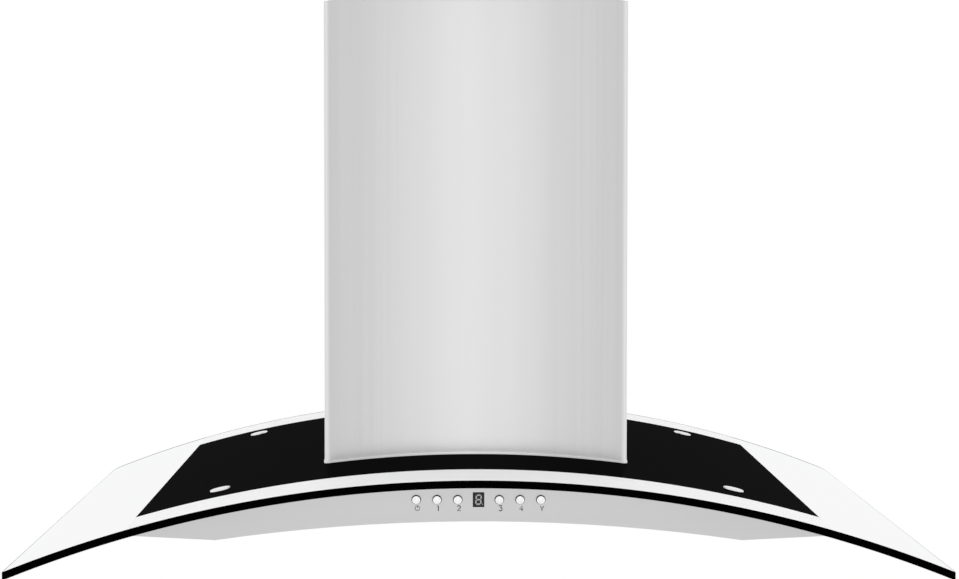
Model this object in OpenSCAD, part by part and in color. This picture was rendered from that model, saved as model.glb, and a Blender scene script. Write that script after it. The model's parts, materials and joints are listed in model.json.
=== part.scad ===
// Island range hood: an arched glass canopy on a shallow steel body, hung from the ceiling
// by a telescoping frame inside a two-part chimney.
// Millimetres. +X is to the right, -Y is the front (the control side), +Z is up.
// The origin is on the ceiling, at the centre of the ceiling plate's top face.
// "Crown" is the highest point of the glass. Hood parts are drawn with the crown at z = 0
// and then lowered to their place, so a height in them is a height above the crown.

/* [Glass canopy] */
// Width across the glass, end to end
glass_w = 900; // [860:10:940]
// Depth of the glass, front to rear
glass_d = 650; // [640:10:680]
// Thickness of the glass
glass_t = 8; // [6:1:8]
// Radius of the glass's top face
glass_r = 1204; // [1190:2:1230]
// Radius of the glass's rear corners in plan
glass_corner_r = 14; // [8:1:20]
// Radius of the glass's front corners in plan
glass_front_r = 5; // [3:1:14]
// Width of the black printed mask
mask_w = 667; // [660:1:674]
// Clear margin between the mask and the front or rear edge
mask_margin = 70; // [65:1:75]
// Distance of each glass bolt from the centre plane, left and right
bolt_x = 256; // [250:1:262]
// Distance of each glass bolt from the centre plane, front and rear
bolt_y = 210; // [200:1:215]

/* [Body] */
// Distance of the body's front panel behind the glass's front edge
body_setback = 18; // [16:1:22]
// Radius of the arched underside
keel_r = 1745; // [1700:5:1800]
// Height of the underside below the crown, at the centre
keel_drop = 41.7; // [41:0.1:43]
// Half width of the arched part of the underside
keel_x = 250; // [248:1:254]
// Sheet thickness of the body
sheet_t = 1; // [0.8:0.1:1.2]

/* [Chimney] */
// Width of the lower cover
cover_w = 311; // [308:1:314]
// Depth of the lower cover
cover_d = 304; // [300:1:308]
// Height of the lower cover's top edge above the crown
cover_h = 464; // [460:1:480]
// Outside corner radius of the lower cover
cover_r = 7; // [6:1:9]
// Length of the upper cover
upper_cover_len = 440; // [430:5:440]
// How far the hood can be lowered from the ceiling
travel = 350; // [300:10:350]

/* [Blower] */
// Width of the blower box
box_w = 250; // [250:2:254]
// Depth of the blower box
box_d = 240; // [240:2:244]
// Height of the blower box's top above the crown
box_h = 300; // [298:1:304]
// Outer radius of the impeller
impeller_r = 75; // [70:1:76]
// Outer radius of the duct collar
duct_r = 75; // [70:1:75]

/* [Controls, lamps and filters] */
// Distance between neighbouring buttons
button_pitch = 19.7; // [19:0.1:20]
// Diameter of a button's face
button_d = 8; // [7:0.5:8]
// How far a button travels
button_travel = 1.2; // [0.5:0.1:1.2]
// Distance of each lamp from the centre plane, left and right
lamp_x = 195; // [185:1:200]
// Distance of each lamp from the centre plane, front and rear
lamp_y = 238; // [230:1:245]
// Width of each filter opening
bay_w = 206; // [206:1:206]
// Depth of each filter opening
bay_d = 336; // [330:1:336]
// Thickness of a filter
filter_t = 12; // [12:1:13]

/* [Hidden] */
SIDES = [["left", -1], ["right", 1]];
CORNERS = [["front_left", -1, -1], ["front_right", 1, -1], ["rear_left", -1, 1], ["rear_right", 1, 1]];
FLAPS = [["front", -1], ["rear", 1]];
BUTTONS = [
    ["power_button", -3], ["speed_1_button", -2], ["speed_2_button", -1],
    ["speed_3_button", 1], ["speed_4_button", 2], ["lamp_button", 3]
];

ARC_FN = 256;
$fn = 64;
EPS = 0.1;

// Heights that place the hood under the ceiling
ceiling_gap = 2;
crown_z = -(cover_h + ceiling_gap);

// Stack between the glass and the body's top plate
mask_t = 0.3;
gasket_t = 0.7;
seat_r = glass_r - glass_t - mask_t - gasket_t;
gasket_w = 12;
cutout_gap = 6;
glass_hole_r = 6;
stud_r = 3;

// Body outline
body_d = glass_d - 2 * body_setback;
body_half = mask_w / 2;
keel_low = -keel_drop - (keel_r - sqrt(keel_r * keel_r - keel_x * keel_x));
body_tip_z = arch_z(body_half, glass_r - glass_t);
keel_rise = (body_tip_z - keel_low) / (body_half - keel_x);

// Chimney covers and frame rails, from the outside in
cover_t = 1;
cover_slide_gap = 3;
rail_leg = 25;
rail_t = 2;
rail_gap = 0.5;
rail_slot_w = 5.5;
rail_bolt_inset = 12.5;
upper_rail_len = travel + 75;
lower_rail_bottom = 180;
lower_rail_top = 448;
frame_bolt_r = 2.5;
frame_bolt_heights = [lower_rail_top - 14, lower_rail_top - 44];
rail_screw_r = 2;
rail_screw_heights = [lower_rail_bottom + 15, box_h - 20];
plate_t = 3;
plate_w = 296;
plate_d = 288;
plate_hole_r = 100;
anchor_pitch = 196;
anchor_r = 4;
tab_w = 50;
tab_h = 24;

// Blower
box_t = 1.2;
scroll_half_w = 62;
scroll_wall = 2;
scroll_y = -25;
scroll_z = 122;
scroll_r_min = impeller_r + 6;
scroll_r_end = impeller_r + 29;
tongue_angle = 60;
throat_y = -2;
inlet_r = 62;
impeller_half_w = 52;
motor_r = 44;
shaft_r = 4;
collar_bottom = box_h + 42;
collar_top = box_h + 102;
collar_t = 2;
throat_r = duct_r - collar_t - 3;
adaptor_t = 2;
outlet_d = scroll_y + scroll_r_end - throat_y;
rod_r = 2;
damper_z = collar_bottom + 6;

// Controls, behind the front panel
panel_y = -body_d / 2;
button_z = -21;
button_hole_d = button_d + 1;
button_proud = 3 * button_travel;
display_w = 11;
display_h = 14.2;
board_y = panel_y + 11.4;

// Filters: local x runs from the hinged outer edge towards the centre of the hood
bar_half = 7;
hinge_x = bar_half + bay_w;
hinge_z = keel_z(hinge_x);
bay_tilt = atan((keel_z(bar_half) - hinge_z) / bay_w);
filter_gap = 1;
filter_w = bay_w - 2 * filter_gap;
filter_d = bay_d - 2 * filter_gap;
filter_sheet = 1;
filter_rail = 12;
pivot_x = 4;
pivot_z = 2.6;
vane_w = 18;
vane_pitch = 26;
vane_count = 7;
vane_t = 0.8;

// Height above the crown of an arc of radius r, concentric with the glass, at x
function arch_z(x, r) = sqrt(r * r - x * x) - glass_r;
// Height above the crown of the arched underside at x
function keel_z(x) = sqrt(keel_r * keel_r - x * x) - keel_r - keel_drop;

// ---- Shared shapes ----

// Rectangle with true arcs at its corners
module rounded_rect(w, d, r) {
    square([w - 2 * r, d], center = true);
    square([w, d - 2 * r], center = true);
    for (sx = [-1, 1], sy = [-1, 1])
        translate([sx * (w / 2 - r), sy * (d / 2 - r)]) circle(r);
}

// Extrudes an X-Z outline along Y, from y0 to y1
module along_y(y0, y1) {
    translate([0, y1, 0]) rotate([90, 0, 0]) linear_extrude(y1 - y0) children();
}

// Arched sheet under the glass, between two radii and trimmed in plan to w by d
module arched_sheet(r_out, r_in, w, d) {
    along_y(-d / 2, d / 2) intersection() {
        translate([0, -glass_r]) difference() {
            circle(r_out, $fn = ARC_FN);
            circle(r_in, $fn = ARC_FN);
        }
        translate([-w / 2, -glass_r / 4]) square([w, glass_r / 2]);
    }
}

// Puts a child on the glass's top face, square to it, at distance x from the centre
module on_glass(x, y) {
    translate([0, y, -glass_r]) rotate([0, asin(x / glass_r), 0]) translate([0, 0, glass_r]) children();
}

// Puts a child on the underside of the pan, square to it
module on_keel(x, y) {
    translate([0, y, -keel_drop - keel_r]) rotate([0, asin(x / keel_r), 0])
        translate([0, 0, keel_r]) children();
}

module at_bolts() {
    for (sx = [-1, 1], sy = [-1, 1]) on_glass(sx * bolt_x, sy * bolt_y) children();
}

// Turns a child's Z axis to +X, or to -X when side is -1
module facing_x(side = 1) {
    rotate([0, 90 * side, 0]) children();
}

// Turns a child's Z axis to the front
module facing_front() {
    rotate([90, 0, 0]) children();
}

// ---- Ceiling section ----

module ceiling_plate() color("silver") {
    translate([0, 0, -plate_t]) linear_extrude(plate_t) difference() {
        rounded_rect(plate_w, plate_d, 6);
        circle(plate_hole_r, $fn = 128);
        for (sx = [-1, 1], sy = [-1, 1])
            translate([sx * anchor_pitch / 2, sy * anchor_pitch / 2]) circle(anchor_r);
    }
    for (side = [-1, 1]) ceiling_tab(side);
}

// Tab that hangs down from the plate and takes the cover's screws
module ceiling_tab(side) {
    difference() {
        translate([side * (plate_w / 2 - rail_t / 2), 0, -plate_t - tab_h / 2])
            cube([rail_t, tab_w, tab_h + EPS], center = true);
        for (y = [-tab_w / 4, tab_w / 4])
            translate([side * plate_w / 2, y, -tab_h / 2 - plate_t]) facing_x()
                cylinder(r = 1.5, h = 3 * rail_t, center = true);
    }
}

module upper_chimney_cover() color("gainsboro") {
    w = cover_w - 2 * (cover_t + cover_slide_gap);
    d = cover_d - 2 * (cover_t + cover_slide_gap);
    r = cover_r - 2;
    difference() {
        translate([0, 0, -1 - upper_cover_len]) linear_extrude(upper_cover_len) difference() {
            rounded_rect(w, d, r);
            rounded_rect(w - 2 * cover_t, d - 2 * cover_t, r - cover_t);
        }
        for (side = [-1, 1], row = [0:5], y = [-60, 60])
            translate([side * w / 2, y, -50 - 12 * row]) cube([8, 70, 4], center = true);
        for (side = [-1, 1], y = [-tab_w / 4, tab_w / 4])
            translate([side * w / 2, y, -tab_h / 2 - plate_t]) facing_x()
                cylinder(r = 2, h = 8, center = true);
    }
}

// Countersunk-size screws that hold the upper cover to the plate's tabs
module upper_cover_screws() color("dimgray") {
    face = cover_w / 2 - cover_t - cover_slide_gap;
    for (side = [-1, 1], y = [-tab_w / 4, tab_w / 4])
        translate([side * (face + 0.1), y, -tab_h / 2 - plate_t]) facing_x(side) {
            cylinder(r1 = 3.6, r2 = 2.6, h = 1.4);
            translate([0, 0, -9]) cylinder(r = 1.4, h = 9 + EPS);
        }
}

// Four corner angles of the telescoping frame. inner_w and inner_d are the span inside their legs
module rails(inner_w, inner_d, z0, z1) {
    for (sx = [-1, 1], sy = [-1, 1])
        translate([sx * inner_w / 2, sy * inner_d / 2, z0]) linear_extrude(z1 - z0)
            scale([sx, sy]) difference() {
                translate([-rail_leg + rail_t, -rail_leg + rail_t]) square(rail_leg);
                translate([-2 * rail_leg, -2 * rail_leg]) square(2 * rail_leg);
            }
}

// The slots let the frame bolts slide when the hood is raised or lowered
module upper_rails() color("silver") {
    inner_w = box_w + 2 * (rail_t + rail_gap);
    inner_d = box_d + 2 * (rail_t + rail_gap);
    slot_top = -24;
    slot_bottom = -plate_t - upper_rail_len + 8;
    difference() {
        rails(inner_w, inner_d, -plate_t - upper_rail_len, -plate_t);
        for (sx = [-1, 1], sy = [-1, 1])
            translate([sx * inner_w / 2, sy * (box_d / 2 - rail_bolt_inset), (slot_top + slot_bottom) / 2])
                cube([4 * rail_t, rail_slot_w, slot_top - slot_bottom], center = true);
    }
}

// ---- Hood frame and cover ----

// Puts a child at each rail bolt or screw of the given heights, its Z axis pointing outwards
module at_rails(heights) {
    for (sx = [-1, 1], sy = [-1, 1], z = heights)
        translate([sx * box_w / 2, sy * (box_d / 2 - rail_bolt_inset), z]) facing_x(sx) children();
}

module lower_rails() color("silver") {
    difference() {
        rails(box_w, box_d, lower_rail_bottom, lower_rail_top);
        at_rails(frame_bolt_heights) cylinder(r = frame_bolt_r, h = 4 * rail_t, center = true);
        at_rails(rail_screw_heights) cylinder(r = rail_screw_r, h = 4 * rail_t, center = true);
    }
}

// Screws that fix the lower rails to the blower box
module rail_screws() color("dimgray") {
    at_rails(rail_screw_heights) {
        translate([0, 0, rail_t]) cylinder(r = 4, h = 0.45);
        translate([0, 0, -6]) cylinder(r = rail_screw_r, h = 6 + rail_t + EPS);
    }
}

// Square band that ties the lower rails together near the top
module frame_ring() color("silver") {
    height = 50;
    difference() {
        translate([0, 0, lower_rail_top - height]) linear_extrude(height) difference() {
            square([box_w, box_d], center = true);
            square([box_w - 2 * rail_t, box_d - 2 * rail_t], center = true);
        }
        at_rails(frame_bolt_heights) cylinder(r = frame_bolt_r, h = 5 * rail_t, center = true);
    }
}

// Bolts that clamp the lower rails and the ring in the upper rails' slots
module frame_bolts() color("dimgray") {
    head_z = 2 * rail_t + rail_gap + 0.2;
    at_rails(frame_bolt_heights) {
        translate([0, 0, -8]) cylinder(r = frame_bolt_r, h = 8 + head_z + EPS);
        translate([0, 0, head_z]) cylinder(r = 5, h = 3.5, $fn = 6);
    }
}

// The foot follows the glass and ends in a narrow hem, which stands proud of the cover
module lower_chimney_cover() color("gainsboro") {
    hem_t = 0.6;
    hem_h = 3;
    difference() {
        union() {
            cover_tube(0, cover_h);
            intersection() {
                cover_tube(hem_t, cover_h / 2);
                under_arch(hem_h);
            }
        }
        under_arch(0.2);
    }
}

// Tube of the lower cover's plan, grown outwards
module cover_tube(grow, top) {
    skirt = 20;
    translate([0, 0, -skirt]) linear_extrude(top + skirt) difference() {
        rounded_rect(cover_w + 2 * grow, cover_d + 2 * grow, cover_r + grow);
        rounded_rect(cover_w - 2 * cover_t, cover_d - 2 * cover_t, cover_r - cover_t);
    }
}

// Everything below an arch that lies a given height above the glass
module under_arch(height) {
    translate([0, 0, -glass_r]) facing_front()
        cylinder(r = glass_r + height, h = 2 * cover_d, center = true, $fn = ARC_FN);
}

// Nylon pads inside the lower cover's top edge, which the upper cover slides on
module cover_glide_pads() color("black") {
    pad_t = cover_slide_gap - 0.4;
    pad_w = 30;
    pad_h = 15;
    for (side = [-1, 1], offset = [-80, 80]) {
        translate([side * (cover_w / 2 - cover_t - pad_t / 2), offset, cover_h - pad_h])
            cube([pad_t, pad_w, pad_h], center = true);
        translate([offset, side * (cover_d / 2 - cover_t - pad_t / 2), cover_h - pad_h])
            cube([pad_w, pad_t, pad_h], center = true);
    }
}

// Straps from the blower box to the foot of the lower cover
module cover_brackets() color("silver") {
    inner = box_w / 2;
    outer = cover_w / 2 - cover_t;
    strap_t = 1.5;
    for (side = [-1, 1], y = [-60, 60]) {
        translate([side * (inner + outer) / 2, y, 8])
            cube([outer - inner, 30, strap_t], center = true);
        for (x = [inner + strap_t / 2, outer - strap_t / 2])
            translate([side * x, y, 14]) cube([strap_t, 30, 12], center = true);
    }
}

// ---- Glass ----

module glass_canopy() color("lightcyan", 0.4) {
    difference() {
        intersection() {
            arched_sheet(glass_r, glass_r - glass_t, 1.1 * glass_w, 1.1 * glass_d);
            translate([0, 0, -glass_r / 4]) linear_extrude(glass_r / 2) glass_plan();
        }
        glass_cutout();
        at_bolts() cylinder(r = glass_hole_r, h = 4 * glass_t, center = true);
    }
}

// Plan of the glass, with tighter corners at the front
module glass_plan() {
    rounded_rect(glass_w, glass_d, glass_corner_r);
    translate([0, -glass_d / 4]) rounded_rect(glass_w, glass_d / 2, glass_front_r);
}

// Opening in the glass and its mask, inside the chimney, for the blower box
module glass_cutout() {
    translate([0, 0, -glass_r / 10]) linear_extrude(glass_r / 5)
        rounded_rect(box_w + 2 * cutout_gap, box_d + 2 * cutout_gap, 12);
}

// Black ceramic print under the glass
module glass_mask() color([0.06, 0.06, 0.06]) {
    r_out = glass_r - glass_t;
    difference() {
        arched_sheet(r_out, r_out - mask_t, mask_w, glass_d - 2 * mask_margin);
        glass_cutout();
        at_bolts() cylinder(r = glass_hole_r, h = 4 * glass_t, center = true);
    }
}

module glass_gasket() color([0.1, 0.1, 0.1]) {
    w = 2 * body_half - 46;
    d = glass_d - 2 * mask_margin - 10;
    r_out = seat_r + gasket_t;
    difference() {
        arched_sheet(r_out, seat_r, w, d);
        arched_sheet(r_out + 1, seat_r - 1, w - 2 * gasket_w, d - 2 * gasket_w);
    }
}

module glass_bolt_caps() color("gainsboro") {
    cap_r = 10.3;
    at_bolts() {
        translate([0, 0, 0.3]) cylinder(r = cap_r, h = 1.5);
        translate([0, 0, 1.8]) cylinder(r1 = cap_r, r2 = cap_r - 1.5, h = 0.7);
    }
}

// Studs that come up from the top plate into the caps
module glass_bolts() color("dimgray") {
    shank = glass_t + 14;
    at_bolts() translate([0, 0, 0.3 - shank]) cylinder(r = stud_r, h = shank);
}

// Nylon bushes that keep the studs off the glass
module glass_bushes() color([0.1, 0.1, 0.1]) {
    at_bolts() translate([0, 0, -glass_t]) difference() {
        cylinder(r = glass_hole_r - 0.2, h = glass_t);
        translate([0, 0, -1]) cylinder(r = stud_r, h = glass_t + 2);
    }
}

module glass_nuts() color("silver") {
    under_plate = glass_t + mask_t + gasket_t + sheet_t;
    at_bolts() translate([0, 0, -under_plate - 5.2]) difference() {
        cylinder(r = 5.8, h = 5, $fn = 6);
        translate([0, 0, -1]) cylinder(r = stud_r, h = 7);
    }
}

// ---- Body ----

// Outline of the body in X-Z. Its top follows the glass; its underside is an arch between
// two straight ends that rise to meet the glass. Positive insets shrink it.
module body_outline(top_in = 0, bottom_in = 0) {
    reach = body_half + 20;
    reach_z = keel_low + (reach - keel_x) * keel_rise;
    intersection() {
        translate([0, -glass_r]) circle(r = seat_r - top_in, $fn = ARC_FN);
        difference() {
            translate([0, bottom_in]) polygon([
                [-reach, reach_z], [-keel_x, keel_low], [keel_x, keel_low],
                [reach, reach_z], [reach, 60], [-reach, 60]
            ]);
            translate([0, -keel_drop - keel_r]) circle(r = keel_r + bottom_in, $fn = ARC_FN);
        }
    }
}

module top_plate() color("silver") {
    inner_d = body_d - 2 * sheet_t - 0.4;
    difference() {
        along_y(-inner_d / 2, inner_d / 2) difference() {
            body_outline(0, sheet_t + 0.4);
            body_outline(sheet_t, -20);
        }
        translate([0, 0, -50]) linear_extrude(100) square([box_w, box_d], center = true);
        at_bolts() cylinder(r = stud_r + 0.4, h = 60, center = true);
    }
}

module bottom_pan() color("gainsboro") {
    inner_d = body_d - 2 * sheet_t;
    difference() {
        along_y(-inner_d / 2, inner_d / 2) difference() {
            body_outline(0, 0);
            body_outline(-5, sheet_t);
        }
        for (side = [-1, 1])
            translate([side * (bar_half + bay_w / 2), 0, -50]) cube([bay_w, bay_d, 60], center = true);
        for (sx = [-1, 1], sy = [-1, 1])
            on_keel(sx * lamp_x, sy * lamp_y) cylinder(r = 29.2, h = 20, center = true);
    }
}

module front_panel() color("gainsboro") {
    difference() {
        along_y(panel_y, panel_y + sheet_t) body_outline();
        for (b = BUTTONS)
            translate([b[1] * button_pitch, panel_y, button_z]) facing_front()
                cylinder(d = button_hole_d, h = 4 * sheet_t, center = true);
        translate([0, panel_y, button_z]) cube([display_w, 4 * sheet_t, display_h], center = true);
    }
}

module rear_panel() color("gainsboro") {
    along_y(-panel_y - sheet_t, -panel_y) body_outline();
}

// ---- Blower ----

// Box that the blower hangs in. Its foot follows the arch and is welded to the top plate
module blower_box() color("silver") {
    outlet_w = 2 * (scroll_half_w - scroll_wall);
    skirt = 40;
    difference() {
        translate([-box_w / 2, -box_d / 2, -skirt]) cube([box_w, box_d, box_h + skirt]);
        translate([-box_w / 2 + box_t, -box_d / 2 + box_t, -skirt - 1])
            cube([box_w - 2 * box_t, box_d - 2 * box_t, box_h + skirt + 1 - box_t]);
        under_arch(seat_r - sheet_t - glass_r);
        translate([-outlet_w / 2, throat_y, box_h - 10]) cube([outlet_w, outlet_d, 20]);
        at_rails(rail_screw_heights) cylinder(r = rail_screw_r, h = 4 * box_t, center = true);
    }
}

// Scroll radius grows evenly from the tongue to the outlet
function scroll_r(a) =
    scroll_r_min + (scroll_r_end - scroll_r_min) * (a - tongue_angle) / (360 - tongue_angle);

// Point on the scroll at angle a, grown outwards by wall
function scroll_point(a, wall) =
    [scroll_y + (scroll_r(a) + wall) * cos(a), scroll_z + (scroll_r(a) + wall) * sin(a)];

// Scroll outline in Y-Z about the impeller's axis, grown outwards by wall
function scroll_points(wall) = concat(
    [for (a = [tongue_angle:7.5:360]) scroll_point(a, wall)],
    [[scroll_y + scroll_r_end + wall, box_h - box_t], [throat_y - wall, box_h - box_t]]
);

// Half of the scroll, from the centre plane out to its side plate
module scroll_half(side) color([0.15, 0.15, 0.16]) {
    scale([side, 1, 1]) rotate([90, 0, 90]) {
        linear_extrude(scroll_half_w - scroll_wall) difference() {
            polygon(scroll_points(scroll_wall));
            polygon(scroll_points(0));
        }
        translate([0, 0, scroll_half_w - scroll_wall]) linear_extrude(scroll_wall) difference() {
            polygon(scroll_points(scroll_wall));
            translate([scroll_y, scroll_z]) circle(inlet_r);
        }
        translate([scroll_y, scroll_z, scroll_half_w]) inlet_ring();
    }
}

module inlet_ring() {
    difference() {
        cylinder(r1 = inlet_r + 2, r2 = inlet_r + 6, h = 4);
        translate([0, 0, -1]) cylinder(r = inlet_r, h = 6);
    }
}

// Puts a child on the impeller's axis, with its Z along +X
module on_axis() {
    translate([0, scroll_y, scroll_z]) facing_x() children();
}

module motor() color("dimgray") {
    on_axis() {
        translate([0, 0, -50]) difference() {
            union() {
                cylinder(r = motor_r, h = 40);
                translate([0, 0, -6]) cylinder(r1 = motor_r - 8, r2 = motor_r, h = 6);
            }
            translate([0, 0, -7]) cylinder(r = shaft_r + 0.05, h = 50);
        }
    }
}

// Three-armed bracket that holds the motor in the left inlet
module motor_bracket() color("silver") {
    outer_x = -scroll_half_w - 4.2;
    on_axis() {
        translate([0, 0, outer_x - 2]) difference() {
            cylinder(r = inlet_r + 10, h = 2);
            translate([0, 0, -1]) cylinder(r = inlet_r, h = 4);
        }
        for (a = [90, 210, 330]) rotate([0, 0, a]) {
            translate([motor_r - 16, -6, outer_x - 2]) cube([inlet_r - motor_r + 20, 12, 2]);
            translate([motor_r - 16, -6, outer_x - 2]) cube([2, 12, -outer_x - 54]);
        }
    }
}

module impeller() color([0.2, 0.2, 0.21]) {
    blade_in = impeller_r - 13;
    on_axis() {
        difference() {
            translate([0, 0, -1.2]) cylinder(r = impeller_r - 1, h = 2.4);
            cylinder(r = shaft_r + 2, h = 10, center = true);
        }
        difference() {
            translate([0, 0, -3]) cylinder(r = 12, h = 14);
            cylinder(r = shaft_r, h = 40, center = true);
        }
        for (z = [-impeller_half_w, impeller_half_w - 3]) translate([0, 0, z]) difference() {
            cylinder(r = impeller_r, h = 3);
            translate([0, 0, -1]) cylinder(r = blade_in, h = 5);
        }
        for (a = [0:12:348]) rotate([0, 0, a]) translate([blade_in + 5, 0, 0]) rotate([0, 0, 25])
            cube([11, 1.2, 2 * impeller_half_w - 2], center = true);
    }
}

module motor_shaft() color("gainsboro") {
    on_axis() translate([0, 0, -54]) cylinder(r = shaft_r, h = 68);
}

// Tapered piece that gathers the scroll's off-centre outlet
module duct_adaptor() color("silver") {
    outlet_w = 2 * (scroll_half_w - scroll_wall);
    difference() {
        union() {
            adaptor_taper(adaptor_t, box_h);
            outlet_slab(outlet_w + 30, outlet_d + 30, box_h, 1.5);
        }
        adaptor_taper(0, box_h - 1);
        translate([0, 0, collar_bottom - 2]) cylinder(r = throat_r, h = 4, $fn = 128);
    }
}

// Blends the scroll's outlet into the collar's circle, grown outwards
module adaptor_taper(grow, z0) {
    outlet_w = 2 * (scroll_half_w - scroll_wall);
    hull() {
        outlet_slab(outlet_w + 2 * grow, outlet_d + 2 * grow, z0, 1);
        translate([0, 0, collar_bottom - 1]) cylinder(r = throat_r + grow, h = 1, $fn = 32);
    }
}

module outlet_slab(w, d, z, t) {
    translate([-w / 2, throat_y + outlet_d / 2 - d / 2, z]) cube([w, d, t]);
}

// Collar for a round duct, with an inner ledge at its foot that the damper flaps close on
module duct_collar() color("silver") {
    translate([0, 0, collar_bottom]) difference() {
        cylinder(r = duct_r, h = collar_top - collar_bottom, $fn = 128);
        translate([0, 0, -1]) cylinder(r = throat_r, h = 10, $fn = 128);
        translate([0, 0, damper_z - collar_bottom - 3]) cylinder(r = duct_r - collar_t, h = 200, $fn = 128);
        translate([0, 0, damper_z - collar_bottom]) facing_x()
            cylinder(r = rod_r, h = 4 * duct_r, center = true);
    }
}

module damper_rod() color("gainsboro") {
    translate([0, 0, damper_z]) facing_x() cylinder(r = rod_r, h = 2 * duct_r, center = true);
}

// Half-round flap with knuckles on the rod. side -1 is the front flap, whose knuckles sit
// beside the rear flap's
module damper_flap(side) color("gray") {
    flap_r = duct_r - collar_t - 1.5;
    knuckle_shift = side > 0 ? 0 : 15;
    translate([0, 0, damper_z]) scale([1, side, 1]) {
        intersection() {
            translate([0, 0, -0.5]) cylinder(r = flap_r, h = 1, $fn = 128);
            translate([-flap_r, 3.5, -1]) cube([2 * flap_r, flap_r, 2]);
        }
        for (x = [-45, 15]) translate([x + knuckle_shift, 0, 0]) flap_knuckle();
    }
}

module flap_knuckle() {
    difference() {
        union() {
            facing_x() cylinder(r = 3.2, h = 14);
            translate([0, 0, -0.5]) cube([14, 4, 1]);
        }
        translate([-1, 0, 0]) facing_x() cylinder(r = rod_r + 0.06, h = 16);
    }
}

// ---- Wiring ----

module junction_box() color("silver") {
    difference() {
        translate([box_w / 2, -50, 60]) cube([22, 100, 80]);
        translate([box_w / 2 + 1.2, -48.8, 61.2]) cube([19.6, 97.6, 77.6]);
        translate([box_w / 2 + 11, 0, 130]) cylinder(r = 7, h = 20);
    }
}

// Gland for the supply cable, in the junction box's top
module cable_gland() color([0.1, 0.1, 0.1]) {
    translate([box_w / 2 + 11, 0, 132]) difference() {
        union() {
            cylinder(r = 7, h = 8);
            translate([0, 0, 8]) cylinder(r = 9.5, h = 5, $fn = 6);
            translate([0, 0, 13]) cylinder(r1 = 8, r2 = 6.5, h = 8);
        }
        translate([0, 0, -1]) cylinder(r = 5, h = 30);
    }
}

module run_capacitor() color("white") {
    translate([100, 80, 40]) cylinder(r = 14, h = 55);
    translate([100, 80, 95]) cylinder(r = 11, h = 4);
}

// Sealed supply for the lamps, on the inside of the blower box
module lamp_driver() color("white") {
    translate([-box_w / 2 + box_t, -105, 20]) cube([22, 70, 32]);
}

// ---- Controls ----

// Domed cap in front of the panel, a collar behind it and a stem that presses the switch
module control_button(step) color("whitesmoke") {
    dome_r = 12;
    translate([step * button_pitch, panel_y, button_z]) facing_front() {
        intersection() {
            translate([0, 0, -1.1]) cylinder(d = button_d, h = 1.1 + button_proud);
            translate([0, 0, button_proud - dome_r]) sphere(r = dome_r, $fn = 96);
        }
        translate([0, 0, -2.1]) cylinder(d = button_d + 2, h = 1);
        translate([0, 0, -7.4]) cylinder(d = 4, h = 5.4);
    }
}

// Carrier that guides the buttons' stems and frames the display
module control_carrier() color([0.12, 0.12, 0.12]) {
    carrier_w = 7 * button_pitch + 14;
    difference() {
        translate([-carrier_w / 2, panel_y + 3.8, button_z - 9]) cube([carrier_w, 2.6, 17]);
        for (b = BUTTONS)
            translate([b[1] * button_pitch, panel_y + 5, button_z]) facing_front()
                cylinder(d = 4.4, h = 10, center = true);
        translate([0, panel_y + 5, button_z]) cube([display_w + 0.6, 10, display_h + 0.4], center = true);
    }
    for (side = [-1, 1])
        translate([side * (carrier_w / 2 - 3) - 3, panel_y + sheet_t, button_z - 9]) cube([6, 2.9, 14]);
}

module control_board() color("darkgreen") {
    board_w = 8 * button_pitch;
    translate([-board_w / 2, board_y, button_z - 13]) cube([board_w, 1.6, 20]);
}

module button_switches() color("black") {
    for (b = BUTTONS)
        translate([b[1] * button_pitch, board_y, button_z]) facing_front() {
            translate([-3, -3, 0]) cube([6, 6, 1.6]);
            translate([0, 0, 1.5]) cylinder(d = 3, h = 1.1);
        }
}

module display_module() color([0.2, 0.2, 0.2]) {
    translate([-display_w / 2 + 0.2, panel_y + 1.6, button_z - display_h / 2 + 0.2])
        cube([display_w - 0.4, board_y - panel_y - 1.6, display_h - 0.4]);
}

module display_window() color([0.25, 0.25, 0.25], 0.8) {
    translate([-display_w / 2 + 0.15, panel_y + 0.1, button_z - display_h / 2 + 0.15])
        cube([display_w - 0.3, 1.3, display_h - 0.3]);
}

// ---- Filters ----

// Puts a child in a filter's place: side -1 is the left filter
module in_bay(side) {
    scale([-side, 1, 1]) translate([-hinge_x, 0, hinge_z]) rotate([0, -bay_tilt, 0]) children();
}

// Folded channel that holds the baffles, with two tabs over the pan at the hinged edge
module filter_frame(side) color("gainsboro") {
    in_bay(side) difference() {
        union() {
            difference() {
                filter_block(0, 0);
                filter_block(filter_sheet, filter_sheet);
                filter_block(filter_rail, -EPS);
            }
            for (y = [-110, 110]) translate([0, y, 0]) hinge_tab();
        }
        translate([filter_w - filter_rail, -6.5, -1]) cube([filter_rail - 1, 13, 3]);
        translate([filter_w - 1, -8.5, 1.6]) cube([4, 17, 4.8]);
    }
}

// Tab over the pan's edge, with a rolled bead on the line that the filter turns about
module hinge_tab() {
    w = 24;
    translate([-7, -w / 2, pivot_z - 1]) cube([7 + pivot_x, w, 1.2]);
    translate([pivot_x, 0, pivot_z]) rotate([90, 0, 0]) cylinder(r = 1, h = w, center = true);
}

// The filter's outer block, drawn in from its sides and from its faces
module filter_block(side_in, face_in) {
    translate([filter_gap + side_in, -filter_d / 2 + side_in, face_in])
        cube([filter_w - 2 * side_in, filter_d - 2 * side_in, filter_t - 2 * face_in]);
}

// Two staggered rows of channels, so that the air has to turn and drops its grease
module filter_baffles(side) color("silver") {
    row_w = (vane_count - 1) * vane_pitch;
    first = filter_gap + filter_w / 2 - row_w / 2;
    in_bay(side) {
        for (k = [0:vane_count - 1]) translate([first + k * vane_pitch, 0, filter_sheet + 0.1]) vane(1);
        for (k = [0:vane_count - 2])
            translate([first + (k + 0.5) * vane_pitch, 0, filter_t - filter_sheet - 0.1]) vane(-1);
    }
}

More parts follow.
